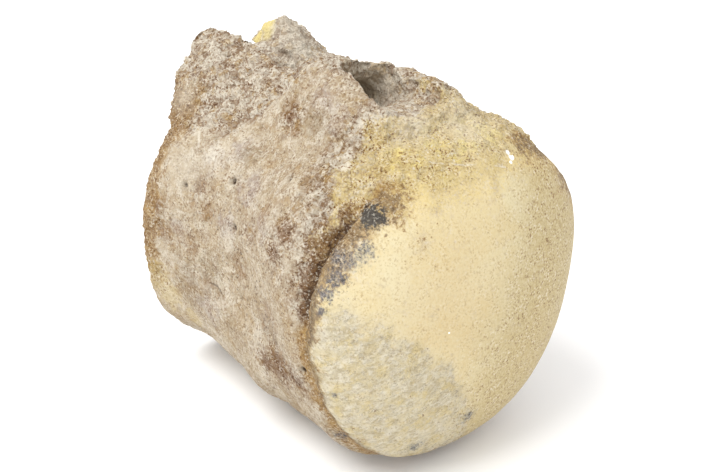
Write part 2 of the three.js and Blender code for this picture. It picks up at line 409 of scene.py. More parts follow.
def joint_zones(points, uneven):
    """The condyle's skin and what lies on it. Distances behind the groove are in mm, angles in degrees."""
    x, y, z = points.T
    turn = turn_of(points)
    behind = x - np.interp(turn, *GROOVE)
    centrum = 1 - ramp(z, *ARCH_FOOT)
    upper = ramp(turn, 12, 60)
    ball = ramp(behind + (1.1 + upper) * uneven, -0.3 + 0.8 * upper, 3.6 + 4.0 * upper) * centrum
    flaking = 1 - ramp(z - np.interp(y, *CHALK_EDGE) + 2.0 * wobble(points, FLAKE_BUMP, 2), -6.0, 4.0)
    stain_end = 5.0 + 4.0 * ramp(turn, 0, 20)
    edge = ramp(behind, -1.5, 0) * (1 - ramp((behind + 1.8 * uneven) / stain_end, 0.2, 1.0)) * centrum
    return {
        "ball": ball,
        "smooth": ball * ramp(behind + 1.2 * uneven, 1.0, 6.0),
        "rim": ball * ramp(turn, 20, 50) * (1 - ramp(behind, 3.0, 8.0)),
        "chalk": ball * flaking,
        "tan": ball * spot(points, *JOINT_MIDDLE),
        # a golden tint with painted shade: the joint face gets darker towards its far, lower side
        "gold_and_shade": ball * ramp(y - 0.4 * z + 1.5 * uneven, -8.0, 10.0),
        "edge": edge * (0.6 + 0.4 * ramp(turn, -8, 14)) * (1 - ramp(turn, 60, 75)),
        "pores": spots(points, POROUS_PLACES) * (1 - ball),
    }


def groove_zones(points, uneven):
    """The lobe, the band and the groove in front of the joint face, with the stains in them."""
    x, y, z = points.T
    turn = turn_of(points)
    behind = x - np.interp(turn, *GROOVE)
    ahead = x - np.interp(turn, *CREST) + 1.2 * uneven
    centrum = 1 - ramp(z, *ARCH_FOOT)
    lobe = ramp(ahead, -4.0, 2.0) * (1 - ramp(behind, -0.6, 1.4)) * ramp(turn, 0, 20)
    band = ramp(x + uneven, -12, -6) * (1 - ramp(behind, 0.5, 4.0)) * ramp(turn, 60, 72)
    upper_groove = ramp(turn, 4, 16) * (1 - ramp(turn, 47, 58)) * centrum
    rust = arc(behind + uneven, -1.4, 2.0) * upper_groove
    beside = ramp(behind, -4, 0) * ramp(turn, 32, 66) * (1 - ramp(behind + uneven, 2.5, 10.0)) * centrum
    yellow = [band * ramp(x, -8.5, -3.5), 0.85 * beside, 0.7 * lobe * ramp(ahead, 1.5, 4.5)]
    seam = arc(turn, 50, 16) * ramp(x, -48, -40) * (1 - ramp(x, -12, -4))
    foam = np.maximum(0.75 * lobe, 0.7 * band)
    return foam, {
        "lobe": np.maximum(lobe, band),
        "crevice": arc(behind, -0.4, 0.9) * upper_groove,
        "rust": np.maximum(rust, spots(points, RUST_PLACES)),
        "groove": arc(behind + 0.8 * uneven, 0.3, 2.4) * centrum * (1 - ramp(turn, 62, 74)),
        "yellow": np.max([*yellow, spots(points, SULPHUR_PLACES)], axis=0),
        "seam": np.maximum(seam, 0.5 * arc(behind, 0.8, 2.6) * centrum),
    }


def front_zones(points, uneven):
    """The worn front edge, the hollow front face, the canal, and the broken faces of the arch."""
    x, y, z = points.T
    radius = np.hypot(y, z)
    rim = (1 - ramp(x + 1.5 * uneven, -55.5, -50.5)) * ramp(radius, 28.5, 31.0) * ramp(z, -16, 0)
    rim = rim * ramp(np.abs(y), 15.0, 21.0)
    canal = (1 - ramp(np.abs(y), 5.0, 6.6)) * ramp(z, 27.5, 29.5) * (1 - ramp(x, -12, -6))
    broken = ramp(z - np.interp(x, *SPONGY_EDGE) + 1.6 * uneven, -2.0, 2.0)
    walls = ramp(z + 0.6 * uneven, 35.0, 38.0) * ramp(y, -6.0, 0.0)
    foam = np.max([broken, walls, 0.5 * rim, 0.6 * canal, 0.8 * spots(points, ROUGH_PATCHES)], axis=0)
    return foam, {
        "front": rim,
        "canal": canal,
        "bowl": (1 - ramp(x, -58.6, -57.6)) * (1 - ramp(radius, 28.5, 31.0)),
        "brown": np.maximum(spots(points, BROWN_PATCHES), 0.5 * rim),
    }


def zones_of(points):
    """Every mask, by name, for points in millimetres from the condyle's centre."""
    uneven = wobble(points, BORDER_BUMP, 1)
    joint = joint_zones(points, uneven)
    groove_foam, groove = groove_zones(points, uneven)
    front_foam, front = front_zones(points, uneven)
    plain = {name: spots(points, places) for name, places in PLAIN_ZONES.items()}
    return {**joint, **groove, **front, **plain, "spongy": np.maximum(groove_foam, front_foam)}


def store_zones(mesh):
    for name, mask in zones_of(anatomical(coordinates(mesh))).items():
        layer = mesh.attributes.get(name) or mesh.attributes.new(name, "FLOAT", "POINT")
        layer.data.foreach_set("value", mask.astype(np.float32))


# %% [markdown]
# ## A fine, even skin
# The solid is faceted and its triangles are long. Fine relief needs small, even faces, so a copy of the
# solid goes through a voxel remesh and a few rounds of smoothing. The seam where the arch joins the centrum
# gets more rounds, since living bone has no sharp inner corner there. Sculpting by hand would look as good,
# but it can't be repeated from a few numbers.

# %% Copy, remesh and smooth the solid
VOXEL = 0.34 * MM
WELD_DISTANCE = 0.001 * MM
SMOOTH_ROUNDS = 14
SEAM_ROUNDS = 90

skin = bpy.data.objects.new("fossil_bone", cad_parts[SOLID].data.copy())
bpy.context.scene.collection.objects.link(skin)

weld = skin.modifiers.new("weld", "WELD")
weld.merge_threshold = WELD_DISTANCE
remesh = skin.modifiers.new("remesh", "REMESH")
remesh.mode = "VOXEL"
remesh.voxel_size = VOXEL
smooth = skin.modifiers.new("smooth", "SMOOTH")
smooth.iterations = SMOOTH_ROUNDS
bake_modifiers(skin)
print("skin faces:", len(skin.data.polygons))


def melt(thing, mask, rounds):
    """Smooths an object's surface where a mask is high."""
    group = thing.vertex_groups.new(name="melt")
    levels = np.round(mask, 1)
    for level in np.unique(levels[levels > 0]):
        group.add(np.flatnonzero(levels == level).tolist(), float(level), "REPLACE")
    soften = thing.modifiers.new("melt", "SMOOTH")
    soften.vertex_group = group.name
    soften.iterations = rounds
    bake_modifiers(thing)
    thing.vertex_groups.clear()


seam = zones_of(anatomical(coordinates(skin.data)))["seam"]
melt(skin, seam, SEAM_ROUNDS)
store_zones(skin.data)
print("zones:", ", ".join(sorted(a.name for a in skin.data.attributes if a.data_type == "FLOAT")))


# %% [markdown]
# ## Helpers for nodes
# A node is added with its settings, and with its inputs, which are either numbers or the outputs of other
# nodes. Sums and products of numbers are so common that each tree gets two short functions for them.

# %% Node helpers
def add(tree, kind, inputs=None, **settings):
    """Adds a node. inputs maps a socket's name or number to a value or to another node's output."""
    node = tree.nodes.new(kind)
    for name, value in settings.items():
        setattr(node, name, value)
    for key, value in (inputs or {}).items():
        socket = node.inputs[key]
        if isinstance(value, bpy.types.NodeSocket):
            tree.links.new(value, socket)
        else:
            socket.default_value = value
    return node


def maths(tree):
    """Two functions for one tree: any operation on numbers, and the product of several."""

    def m(operation, *values):
        return add(tree, "ShaderNodeMath", dict(enumerate(values)), operation=operation).outputs[0]

    def product(result, *others):
        for other in others:
            result = m("MULTIPLY", result, other)
        return result

    return m, product


# %% [markdown]
# ## Relief, with Geometry Nodes
# Broken bone shows a foam of small struts and pits, compact bone has a faint grain and a few vessel holes,
# and the flaking patch has low ripples. All of these follow the surface, so a Geometry Nodes tree makes
# them: seeded points are scattered where the bone is spongy, the distance to the nearest point becomes a
# pit, and noise of the right size adds the struts and the grain. The sizes are named inputs of the tree. It
# also leaves the height and the depth of pits on the mesh, since stain gathers in what lies low.

# %% The relief tree
RELIEF_INPUTS = {
    "Strut Size": 2.8 * MM,
    "Strut Height": 1.15 * MM,
    "Crumb Size": 1.6 * MM,
    "Crumb Height": 0.5 * MM,
    "Grain Size": 0.9 * MM,
    "Grain Height": 0.34 * MM,
    "Pore Spacing": 1.5 * MM,
    "Pore Radius": 0.5 * MM,
    "Pore Depth": 0.5 * MM,
    "Cavity Spacing": 3.4 * MM,
    "Cavity Radius": 0.95 * MM,
    "Cavity Depth": 0.8 * MM,
    "Vessel Spacing": 5.0 * MM,
    "Vessel Radius": 0.34 * MM,
    "Vessel Depth": 0.5 * MM,
    "Ripple Size": 1.3 * MM,
    "Ripple Height": 0.55 * MM,
    "Swell Size": 9.0 * MM,
    "Swell Height": 0.7 * MM,
    "Crevice Depth": 1.0 * MM,
    "Ledge Lift": 0.8 * MM,
}
RELIEF_SEED = 7
RELIEF_ROUGHNESS = 0.62  # how much of each finer octave a noise keeps
WARP_SCALE = 0.7  # the warp that makes pits and crumbs irregular, over the grain
WARP = 2.4 * MM
PATCH_SIZE = 5.0 * MM
SEAM_SHARPNESS = 2.2
MOST_POINTS = 900000.0  # for each square metre
HOLE_OVER_VESSEL = 2.4  # depth of the marked vessel holes over that of the scattered ones
RIPPLE_TILT = math.radians(25)


def build_relief():
    tree = bpy.data.node_groups.new("bone_relief", "GeometryNodeTree")
    tree.interface.new_socket("Geometry", in_out="INPUT", socket_type="NodeSocketGeometry")
    tree.interface.new_socket("Geometry", in_out="OUTPUT", socket_type="NodeSocketGeometry")
    for name, size in RELIEF_INPUTS.items():
        socket = tree.interface.new_socket(name, in_out="INPUT", socket_type="NodeSocketFloat")
        socket.default_value = size
    tree.interface.new_socket("Seed", in_out="INPUT", socket_type="NodeSocketInt")
    tree.interface.new_socket("Material", in_out="INPUT", socket_type="NodeSocketMaterial")
    given = add(tree, "NodeGroupInput").outputs
    position = add(tree, "GeometryNodeInputPosition").outputs[0]
    m, product = maths(tree)

    def vector(operation, *values):
        return add(tree, "ShaderNodeVectorMath", dict(enumerate(values)), operation=operation).outputs[0]

    def scaled(arrow, length):
        return add(tree, "ShaderNodeVectorMath", {0: arrow, "Scale": length}, operation="SCALE").outputs[0]

    def mask(name):
        found = add(tree, "GeometryNodeInputNamedAttribute", {"Name": name}, data_type="FLOAT")
        return found.outputs["Attribute"]

    def noise(size, detail=4.0, stretch=(1, 1, 1), tilt=0.0, offset=0.0):
        """Noise from -1 to 1; tilt turns the stretched grain about the bone's length."""
        inputs = {"Vector": position, "Angle": tilt}
        turned = add(tree, "ShaderNodeVectorRotate", inputs, rotation_type="X_AXIS").outputs[0]
        moved = vector("ADD", vector("MULTIPLY", turned, stretch), (offset,) * 3)
        inputs = {"Vector": moved, "Scale": m("DIVIDE", 1.0, size), "Detail": detail}
        made = add(tree, "ShaderNodeTexNoise", {**inputs, "Roughness": RELIEF_ROUGHNESS}).outputs[0]
        return m("MULTIPLY_ADD", made, 2.0, -1.0)

    inputs = {"Vector": position, "Scale": m("DIVIDE", WARP_SCALE, given["Grain Size"]), "Detail": 2.0}
    warp = add(tree, "ShaderNodeTexNoise", inputs).outputs["Color"]
    bent = vector("ADD", position, scaled(vector("SUBTRACT", warp, (0.5, 0.5, 0.5)), WARP))

    def crumbs_of(size):
        """Rounded crumbs with sharp seams between them, from -1 in the seams to 1."""
        inputs = {"Vector": bent, "Scale": m("DIVIDE", 1.0, size), "Detail": 0.7, "Roughness": 0.5}
        apart = add(tree, "ShaderNodeTexVoronoi", inputs).outputs["Distance"]
        return m("MULTIPLY_ADD", apart, -SEAM_SHARPNESS, 1.0)

    def pits(density, kind, shift):
        """Depth from 0 to 1 around seeded points, with ragged edges."""
        inputs = {
            "Mesh": given["Geometry"],
            "Distance Min": given[kind + " Spacing"],
            "Density Max": MOST_POINTS,
            "Density Factor": density,
            "Seed": m("ADD", given["Seed"], shift),
        }
        settings = {"distribute_method": "POISSON"}
        points = add(tree, "GeometryNodeDistributePointsOnFaces", inputs, **settings).outputs["Points"]
        inputs = {"Geometry": points, "Source Position": bent}
        apart = add(tree, "GeometryNodeProximity", inputs, target_element="POINTS").outputs["Distance"]
        ragged = product(noise(given["Grain Size"], 3.0, offset=0.1 * shift), 0.6)
        share = m("ADD", m("DIVIDE", apart, given[kind + " Radius"]), ragged)
        inputs = {"Value": share, "From Min": 0.1, "From Max": 1.0, "To Min": 1.0, "To Max": 0.0}
        return add(tree, "ShaderNodeMapRange", inputs, interpolation_type="SMOOTHSTEP").outputs[0]

    def limit(value):
        return m("MINIMUM", m("MAXIMUM", value, 0.0), 1.0)

    ball, lobe = mask("ball"), mask("lobe")
    broken = limit(m("MAXIMUM", mask("spongy"), product(mask("brown"), 0.4)))
    calm = m("MAXIMUM", mask("facet"), mask("ledge"))
    sound = m("SUBTRACT", 1.0, limit(m("MAXIMUM", mask("smooth"), calm)))
    patchy = limit(m("MULTIPLY_ADD", noise(PATCH_SIZE, 3.0, offset=0.3), 1.5, 0.55))
    compact = product(sound, m("SUBTRACT", 1.0, broken), m("SUBTRACT", 1.0, mask("bowl")))

    porous = limit(m("MAXIMUM", product(broken, patchy), product(mask("pores"), 0.8, patchy)))
    pore = product(pits(porous, "Pore", 1), porous)
    hollow = product(broken, patchy)
    cavity = product(pits(product(hollow, 0.7), "Cavity", 2), hollow)
    vessel = product(pits(product(compact, 0.6), "Vessel", 3), compact)
    hole = limit(product(mask("hole"), 1.6))

    struts = noise(given["Strut Size"], 4.0)
    crumbs = crumbs_of(given["Crumb Size"])
    granular = limit(m("MAXIMUM", broken, m("MULTIPLY", lobe, 0.8)))
    grain = noise(given["Grain Size"], 4.0, offset=0.5)
    ripples = noise(given["Ripple Size"], 3.0, (0.4, 0.4, 1.3), -RIPPLE_TILT)
    swell = noise(given["Swell Size"], 2.0, offset=0.7)
    heights = [  # after granular: how much more of it broken bone shows, and what all bone shows
        product(struts, given["Strut Height"], m("MULTIPLY_ADD", granular, 0.8, 0.2), sound),
        product(crumbs, given["Crumb Height"], m("MULTIPLY_ADD", granular, 0.85, 0.08), sound),
        product(grain, given["Grain Height"], m("MULTIPLY_ADD", granular, 0.5, 0.5), sound),
        product(pore, given["Pore Depth"], -1.0),
        product(cavity, given["Cavity Depth"], -1.0),
        product(vessel, given["Vessel Depth"], -1.0),
        product(hole, given["Vessel Depth"], -HOLE_OVER_VESSEL),
        product(ripples, given["Ripple Height"], mask("chalk")),
        product(swell, given["Swell Height"], m("MULTIPLY_ADD", ball, -0.8, 1.0)),
        product(mask("crevice"), given["Crevice Depth"], -1.0),
        product(mask("ledge"), given["Ledge Lift"]),
    ]
    height = heights[0]
    for part in heights[1:]:
        height = m("ADD", height, part)

    normal = add(tree, "GeometryNodeInputNormal").outputs[0]
    offset = scaled(normal, height)
    kept = given["Geometry"]
    depth = m("MAXIMUM", m("MAXIMUM", pore, cavity), m("MAXIMUM", vessel, hole))
    for name, value in (("pit", depth), ("height_mm", m("MULTIPLY", height, 1 / MM))):
        inputs = {"Geometry": kept, "Name": name, "Value": value}
        settings = {"data_type": "FLOAT", "domain": "POINT"}
        kept = add(tree, "GeometryNodeStoreNamedAttribute", inputs, **settings).outputs[0]
    moved = add(tree, "GeometryNodeSetPosition", {"Geometry": kept, "Offset": offset}).outputs[0]
    realized = add(tree, "GeometryNodeRealizeInstances", {"Geometry": moved}).outputs[0]
    inputs = {"Geometry": realized, "Material": given["Material"]}
    painted = add(tree, "GeometryNodeSetMaterial", inputs).outputs[0]
    add(tree, "NodeGroupOutput", {"Geometry": painted})
    return tree


relief_tree = build_relief()
print("relief tree nodes:", len(relief_tree.nodes))

# %% [markdown]
# ## Colours
# Fossil bone takes its colour from the minerals that fill it. Here a phosphate and clay matrix gives cream
# to pinkish grey, iron gives ochre, yellow and brown, and manganese gives the bluish grey spots. The
# colours below are sRGB hex values, turned to the linear values that a shader wants by one function.

# %% Colours
def linear(hex_colour):
    channels = [int(hex_colour[i : i + 2], 16) / 255 for i in (1, 3, 5)]
    return tuple(c / 12.92 if c <= 0.04045 else ((c + 0.055) / 1.055) ** 2.4 for c in channels) + (1.0,)


BONE_CREAM = linear("#dfd0b5")
BONE_TAN = linear("#c3af8f")
BONE_LILAC = linear("#b9aba6")
BONE_DUN = linear("#a08d6e")
PALE_CRUST = linear("#f8efdc")
IRON_BROWN = linear("#98703f")
RUST_BROWN = linear("#7d542b")
DARK_BROWN = linear("#432c18")
OCHRE = linear("#bb9654")
MUSTARD = linear("#e9d089")
SULPHUR_YELLOW = linear("#ffe98c")
JOINT_CREAM = linear("#e8d5a4")
JOINT_TAN = linear("#dfc38b")
JOINT_PALE = linear("#efe3bb")
# golden tone of the joint face, darker than its cream: partly its tint, partly painted shade
JOINT_GOLD_SHADE = linear("#c3ab72")
CHALK = linear("#eee3c6")
CHALK_SHADE = linear("#c3b18c")
FLAKE_EDGE = linear("#8a7c60")
MANGANESE_GREY = linear("#666a76")
MANGANESE_DARK = linear("#34383b")
FLECK_WHITE = linear("#ffffff")
DEPTH_OF_TONE = 0.74  # the bone's own tone against how it looks in a brightly exposed photograph

# %% [markdown]
# ## Mineralised bone
# Bone from phosphate beds is dense and stony, with the gloss of unglazed pottery. The joint face kept its
# compact skin, so it is smoother and catches a little more light. One material serves the whole bone, since
# it is one piece: it starts from cream and tan bone, darkens what lies low and bleaches what stands proud,
# lays the joint face over it, and then adds each stain, with painted shade on the joint face's far side and
# in the crevice, and painted light on spongy bone, in the canal and on a few shaded places. Every stain is
# broken up by noise of its own grain, because minerals soak in unevenly.

# %% The material's tree and the tools for it
fossil_bone = bpy.data.materials.new("mineralised_fossil_bone")
fossil_bone.use_nodes = True
paint = fossil_bone.node_tree
paint.nodes.clear()
place = add(paint, "ShaderNodeTexCoord").outputs["Object"]
m, product = maths(paint)


def mask(name):
    return add(paint, "ShaderNodeAttribute", attribute_name=name).outputs["Fac"]


def vector(operation, *values, output=0):
    return add(paint, "ShaderNodeVectorMath", dict(enumerate(values)), operation=operation).outputs[output]


def scaled(arrow, length):
    inputs = {0: arrow, "Scale": length}
    return add(paint, "ShaderNodeVectorMath", inputs, operation="SCALE").outputs[0]


def noise(size_mm, detail=4.0, roughness=0.6, stretch=(1, 1, 1), tilt=0.0, distortion=0.0):
    """Noise from 0 to 1; tilt turns a stretched grain about the bone's length."""
    inputs = {"Vector": place, "Angle": tilt}
    turned = add(paint, "ShaderNodeVectorRotate", inputs, rotation_type="X_AXIS").outputs[0]
    inputs = {
        "Vector": vector("MULTIPLY", turned, stretch),
        "Scale": 1 / (size_mm * MM),
        "Detail": detail,
        "Roughness": roughness,
        "Distortion": distortion,
    }
    return add(paint, "ShaderNodeTexNoise", inputs).outputs[0]


def cells(at, size_mm, output, detail=0.0):
    """Rounded cells of one size; output is their Distance from a centre or a Color for each."""
    inputs = {"Vector": at, "Scale": 1 / (size_mm * MM), "Detail": detail}
    return add(paint, "ShaderNodeTexVoronoi", inputs).outputs[output]


# %% [markdown]
# ## Laying colours over each other
# A painter would glaze: thin coats, each let through in some places only. Every coat below is a share from
# 0 to 1 and a colour. The share comes from a noise value that passes between two limits, or from a zone's
# mask that a grain makes ragged.

# %% Shares and coats
def between(value, start, end):
    inputs = {"Value": value, "From Min": start, "From Max": end}
    return add(paint, "ShaderNodeMapRange", inputs, interpolation_type="SMOOTHSTEP").outputs[0]


def where(value, start, end, *shares):
    """0 before start, rising to the product of the shares at end."""
    return product(between(value, start, end), *shares)


def ragged(share, grain, amount=1.6, start=0.3, end=0.85):
    """A mask whose edge and inside are broken up by a grain from 0 to 1."""
    return between(m("ADD", share, m("MULTIPLY", m("SUBTRACT", grain, 0.5), amount)), start, end)


def stain(zone, grain, amount, share, start=0.3, end=0.85):
    return product(ragged(mask(zone), grain, amount, start, end), share)


def mix(share, under, over, blend="MIX"):
    inputs = {0: share, 6: under, 7: over}
    settings = {"data_type": "RGBA", "clamp_factor": True, "blend_type": blend}
    return add(paint, "ShaderNodeMix", inputs, **settings).outputs[2]


def coats(under, *layers):
    """Lays each (share, colour) over what is there."""
    for share, colour in layers:
        under = mix(share, under, colour)
    return under


# %% [markdown]
# ## Grains
# A speck is one pore or crystal, a crumb is a strut of spongy bone, and the medium and broad grains are how
# far water and mud soaked in. Cells that are bent by a drift look like broken struts, not like a honeycomb.

# %% Grains
DRIFT_SIZE = 1.5  # mm, like the two below
DRIFT = 1.8
CRUMB_CELLS = 1.2

drift = add(paint, "ShaderNodeTexNoise", {"Vector": place, "Scale": 1 / (DRIFT_SIZE * MM), "Detail": 3.0})
bent = vector("ADD", place, scaled(drift.outputs["Color"], DRIFT * MM))
speck = noise(0.42, 2.0, 0.6)
fine = noise(0.6, 4.0, 0.75)
crumb = noise(1.1, 5.0, 0.75)
medium = noise(2.6, 5.0, 0.7)
broad = noise(12.0, 5.0, 0.6, distortion=0.5)
uneven = m("ADD", product(broad, 0.65), product(medium, 0.35))
mottled = m("ADD", product(crumb, 0.6), product(medium, 0.4))
clouds = m("ADD", product(crumb, 0.6), product(fine, 0.4))
crumbs = cells(bent, CRUMB_CELLS, "Distance", 1.0)
rough = m("MAXIMUM", mask("spongy"), m("MULTIPLY", mask("lobe"), 0.9))
granular = m("MULTIPLY_ADD", rough, 0.75, 0.25)
print("nodes for the grains:", len(paint.nodes))

# %% [markdown]
# ## Bare bone
# Where the joint face ends, the bone is cream, tan and pinkish grey. Brown settles in what lies low, and
# wear leaves what stands proud paler. Spongy bone and the canal are lightened too: that is painted light
# against the shade in their hollows. Pores are drawn at 0.8 and 1.3 mm apart: real ones are closer, but
# wouldn't show in a picture of the whole bone.

# %% Bare bone
PORES = ((0.8, 0.30), (1.3, 0.24))  # spacing in mm, and radius as a share of it
STRUTS = ((0.7, 0.5), (1.7, 0.4))  # size in mm, and how strongly they are coloured

height = mask("height_mm")
browned = m("MULTIPLY_ADD", rough, 0.1, 0.34)
crusted = m("MULTIPLY_ADD", rough, 0.2, 0.4)
bone = coats(
    mix(between(uneven, 0.38, 0.56), BONE_CREAM, BONE_TAN),
    (stain("lilac", medium, 2.2, 0.6), BONE_LILAC),
    (stain("dun", mottled, 2.2, 0.7), BONE_DUN),
    (where(crumb, 0.54, 0.64, 0.4), IRON_BROWN),
    (where(noise(0.9, 5.0, 0.7, distortion=0.3), 0.53, 0.66, 0.5), PALE_CRUST),
    (stain("pale", mottled, 3.0, 0.55), PALE_CRUST),
    (stain("brown", mottled, 3.4, 0.6), IRON_BROWN),
    (where(height, -0.2, -1.2, 0.5), RUST_BROWN),
    (where(height, 0.0, 0.7, 0.6), PALE_CRUST),
    # painted light: spongy bone is lightened against the shade of its own relief, less where it is dun
    (product(m("SUBTRACT", rough, product(mask("dun"), 0.8)), 0.3), PALE_CRUST),
    # painted light: the neural canal is lightened against the shade inside it
    (product(mask("canal"), 0.45), PALE_CRUST),
    (where(noise(3.4, 8.0, 0.72, distortion=0.7), 0.53, 0.57, browned), IRON_BROWN),
    (where(noise(4.2, 8.0, 0.72, distortion=0.9), 0.53, 0.57, crusted), PALE_CRUST),
    (where(noise(8.0, 4.0, 0.6, distortion=0.6), 0.50, 0.62, 0.25), OCHRE),
    (where(crumbs, 0.48, 0.70, granular, 0.4), RUST_BROWN),
    (where(crumbs, 0.32, 0.10, granular, 0.4), PALE_CRUST),
)
for size_mm, share in STRUTS:
    strut = cells(bent, size_mm, "Color")
    bone = coats(
        bone,
        (where(strut, 0.36, 0.26, granular, share), RUST_BROWN),
        (where(strut, 0.58, 0.70, granular, share), PALE_CRUST),
        (where(strut, 0.44, 0.47, between(strut, 0.54, 0.51), granular, 0.5), OCHRE),
    )
pores = 0.0
for spacing_mm, radius in PORES:
    pores = m("MAXIMUM", pores, between(cells(place, spacing_mm, "Distance"), radius, radius / 2))
pores = product(pores, between(crumb, 0.43, 0.53), m("MULTIPLY_ADD", mask("pores"), 0.6, 0.4))
bone = coats(bone, (product(pores, 0.85), DARK_BROWN))
print("nodes with the bare bone:", len(paint.nodes))

# %% [markdown]
# ## Joint face and flaking patch
# The condyle's skin is cream, tan in the middle, and golden and darker towards the far, lower side, where
# the darkening is painted shade. On its lower left the skin has split into thin flakes, which follow one
# slope: their grain is stretched and tilted, and their edges are the thin lines where a noise passes through
# its middle value.

# %% Joint face and flaking patch
FLAKE_MM = {"layers": 1.2, "edges": 2.2}

flaked = ragged(mask("chalk"), mottled, 2.6, 0.2, 1.0)
layers = noise(FLAKE_MM["layers"], 5.0, 0.7, (0.5, 0.5, 1.2), -RIPPLE_TILT, 0.6)
edges = noise(FLAKE_MM["edges"], 5.0, 0.65, (0.6, 0.6, 1.2), -RIPPLE_TILT, 0.6)
edges = m("ABSOLUTE", m("SUBTRACT", edges, 0.5))
chalky = coats(
    mix(where(layers, 0.52, 0.42, 0.8), CHALK, CHALK_SHADE),
    (where(layers, 0.54, 0.62, 0.7), PALE_CRUST),
    (where(crumb, 0.48, 0.60, 0.6), PALE_CRUST),
    (where(medium, 0.45, 0.60, 0.6), JOINT_CREAM),
    (where(noise(3.4, 4.0, 0.65), 0.52, 0.62, 0.5), MUSTARD),
    (where(noise(0.8, 5.0, 0.75, distortion=0.8), 0.61, 0.67, 0.5), FLAKE_EDGE),
    (where(edges, 0.022, 0.004, between(crumb, 0.44, 0.54), 0.6), FLAKE_EDGE),
)
joint = coats(
    mix(between(broad, 0.42, 0.62), JOINT_CREAM, JOINT_PALE),
    (product(mask("tan"), 0.7), JOINT_TAN),
    # painted shade: the far, lower side of the joint face is darkened, with a golden tint
    (product(mask("gold_and_shade"), 0.85), JOINT_GOLD_SHADE),
    (where(fine, 0.42, 0.60, 0.3), JOINT_PALE),
    (product(flaked, 0.85), chalky),
)
print("nodes with the joint face:", len(paint.nodes))

# %% [markdown]
# ## Stains, and painted shadow in the crevice
# Sulphur and iron colour the band and the groove in front of the joint face, rust fills the crevice, and
# manganese leaves a bluish grey streak and one dark spot. The darkest brown in the crevice is painted shadow
# under the joint face's rim. Each stain is a zone, a grain, how ragged it is, and its share.

# %% Stains
ball = mask("ball")
surface = coats(
    mix(ragged(ball, mottled, 3.0, 0.2, 1.0), bone, joint),
    (stain("rim", crumb, 2.4, 0.25, 0.45, 0.9), OCHRE),
    (stain("yellow", fine, 1.8, 0.7), MUSTARD),
    (where(mask("yellow"), 0.75, 1.0, between(medium, 0.48, 0.62), 0.6), SULPHUR_YELLOW),
    (stain("groove", mottled, 3.0, 0.75, 0.35, 1.0), OCHRE),
    (stain("groove", crumb, 4.4, 0.6, 0.6, 1.1), IRON_BROWN),
    (stain("edge", mottled, 3.8, 0.6), OCHRE),
    (stain("edge", crumb, 4.4, 0.65, 0.6, 1.0), IRON_BROWN),
    (stain("edge", clouds, 4.4, 0.5, 0.6, 1.0), FLAKE_EDGE),
    (stain("rust", mottled, 3.4, 0.7), RUST_BROWN),
    (stain("front", mottled, 3.0, 0.65), OCHRE),
    (stain("front", crumb, 4.4, 0.5, 0.6, 1.1), RUST_BROWN),
    (stain("yellowed", mottled, 3.0, 0.4), MUSTARD),
    (where(mask("facet"), 0.25, 0.7, 0.85), SULPHUR_YELLOW),
    (stain("arc", fine, 1.4, 0.7), PALE_CRUST),
    # rust and painted shadow: the crevice is dark brown where the joint face's rim shades it
    (stain("crevice", crumb, 3.0, 0.7, 0.5, 0.9), DARK_BROWN),
)
clustered = ragged(mask("grey"), clouds, 3.0, 0.3, 1.0)
surface = coats(
    surface,
    (product(clustered, product(fine, 1.3)), MANGANESE_GREY),
    (product(clustered, between(speck, 0.54, 0.62), 0.7), MANGANESE_DARK),
    (stain("dark", crumb, 2.0, 0.85, 0.35, 0.7), MANGANESE_DARK),
    (where(mask("pit"), 0.3, 1.0, 0.5), DARK_BROWN),
    (where(mask("hole"), 0.3, 0.7, 0.85), DARK_BROWN),
)
print("nodes with the stains:", len(paint.nodes))

# %% [markdown]
# ## Specks, scratches and flecks
# Dust and single crystals speckle everything but the smoothest skin. Scratches and flecks are finer than
# the mesh, so the material draws them itself, from their places in millimetres.

# %% Specks, scratches and flecks
def near(start_mm, end_mm, radius_mm, grain):
    """1 on the line between two places of the bone, or at one place, with an edge roughened by a grain."""
    start, end = (CENTRE + Vector(spot_mm) * MM for spot_mm in (start_mm, end_mm))
    way = (end - start).normalized()
    along = vector("DOT_PRODUCT", vector("SUBTRACT", place, start), way, output="Value")
    along = m("MINIMUM", m("MAXIMUM", along, 0.0), (end - start).length)
    closest = vector("ADD", start, scaled(way, along))
    apart = vector("DISTANCE", place, closest, output="Value")
    return between(product(apart, product(grain, 2.0)), radius_mm * MM, radius_mm * MM / 2)


loose = m("SUBTRACT", 1.0, m("MAXIMUM", mask("smooth"), mask("facet")))
dust = m("MAXIMUM", product(loose, m("MULTIPLY_ADD", rough, 0.35, 0.65)), product(flaked, 0.3))
dust = m("MAXIMUM", dust, m("MULTIPLY_ADD", mask("gold_and_shade"), 0.5, 0.28))
dust = product(dust, m("MULTIPLY_ADD", between(noise(2.0, 3.0), 0.40, 0.58), 0.8, 0.35))
surface = mix(where(speck, 0.55, 0.63, dust, 0.9), surface, IRON_BROWN, "MULTIPLY")
surface = mix(where(speck, 0.44, 0.36, dust, 0.65), surface, PALE_CRUST)
for lines, colour in ((PALE_SCRATCHES, PALE_CRUST), (DARK_SCRATCHES, DARK_BROWN)):
    for start_mm, end_mm, radius_mm in lines:
        surface = coats(surface, (product(near(start_mm, end_mm, radius_mm, crumb), 0.5), colour))
# painted light: lightens the places listed above, which lie in their own shade
surface = coats(surface, (product(mask("painted_light"), 0.38), PALE_CRUST))
surface = mix(1.0, surface, (DEPTH_OF_TONE,) * 3 + (1.0,), "MULTIPLY")
for *fleck, radius_mm in WHITE_FLECKS:
    surface = coats(surface, (near(fleck, fleck, radius_mm, fine), FLECK_WHITE))

# %% [markdown]
# ## Shader
# Stone has an IOR of about 1.5. The joint face is the smoother of the two surfaces. The bump adds only what
# is finer than the mesh: grit, the tops of crumbs, and the steps between flakes.

# %% Shader
STONE_IOR = 1.5
BROKEN_ROUGHNESS = 0.86
JOINT_ROUGHNESS = 0.62
BUMP_HEIGHT = 1.1  # mm, for a grit of 1

